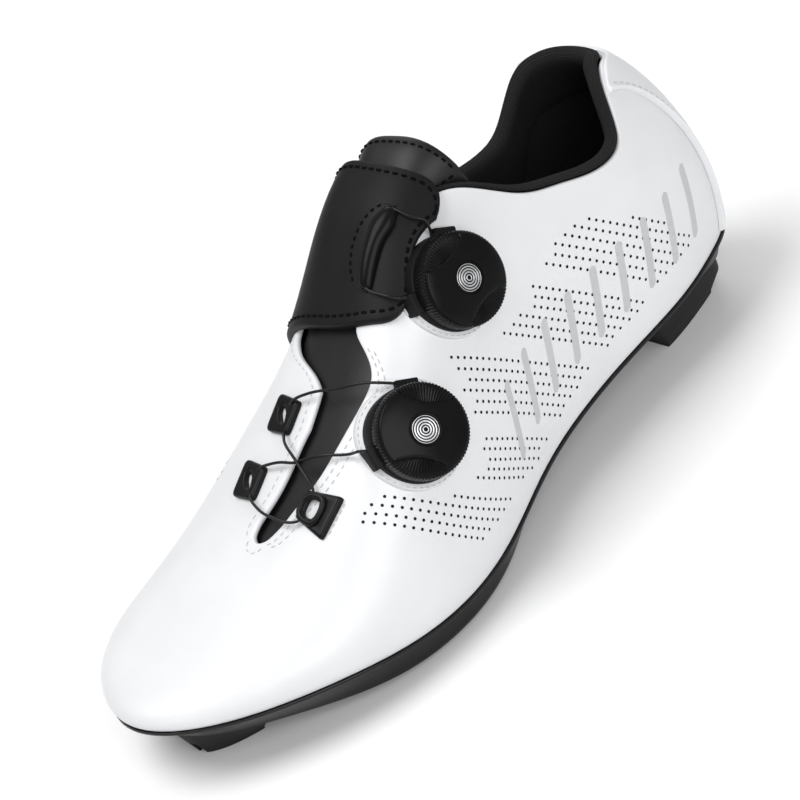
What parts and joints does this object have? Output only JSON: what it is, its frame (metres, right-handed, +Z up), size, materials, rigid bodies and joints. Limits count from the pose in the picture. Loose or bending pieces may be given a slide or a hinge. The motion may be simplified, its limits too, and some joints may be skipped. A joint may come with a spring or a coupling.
{
  "type": "road cycling shoe",
  "caption": "Left road cycling shoe: smooth hollow upper, instep strap, lace dials with thin cord on the outer side, stiff arched sole with heel and toe treads.",
  "frame": {"origin": "middle of the bounding box on the floor", "axes": "+X towards the toe, +Y towards the outer side of the left foot, +Z up"},
  "size_m": [0.2808, 0.1084, 0.1247],
  "materials": {
    "white_leather": "smooth white coated microfibre",
    "black_leather": "smooth black coated microfibre",
    "black_mesh": "black knitted lining",
    "sole_nylon": "glossy black reinforced nylon",
    "tread_rubber": "matt black rubber",
    "dial_plastic": "satin black moulded plastic",
    "lace_cord": "black coated cord",
    "nut_steel": "plain steel"
  },
  "bodies": {
    "root": {"outsole": "sole_nylon", "heel_tread": "tread_rubber", "toe_tread": "tread_rubber", "cleat_nut_1": "nut_steel", "cleat_nut_2": "nut_steel", "cleat_nut_3": "nut_steel", "cleat_nut_4": "nut_steel", "insole": "black_mesh", "upper": "white_leather", "heel_counter": "white_leather", "collar_lining": "black_mesh", "tongue": "black_leather", "strap": "black_leather", "strap_guide": "dial_plastic", "dial_patch_upper": "white_leather", "dial_patch_lower": "white_leather", "dial_base_upper": "dial_plastic", "dial_base_lower": "dial_plastic", "dial_knob_upper": "dial_plastic", "dial_knob_lower": "dial_plastic", "lace_guide_medial_upper": "dial_plastic", "lace_guide_medial_lower": "dial_plastic", "lace_guide_outer": "dial_plastic", "lace_lower_front": "lace_cord", "lace_lower_cross": "lace_cord", "lace_lower_end": "lace_cord", "lace_upper_rear": "lace_cord", "lace_upper_front": "lace_cord"}
  },
  "joints": []
}
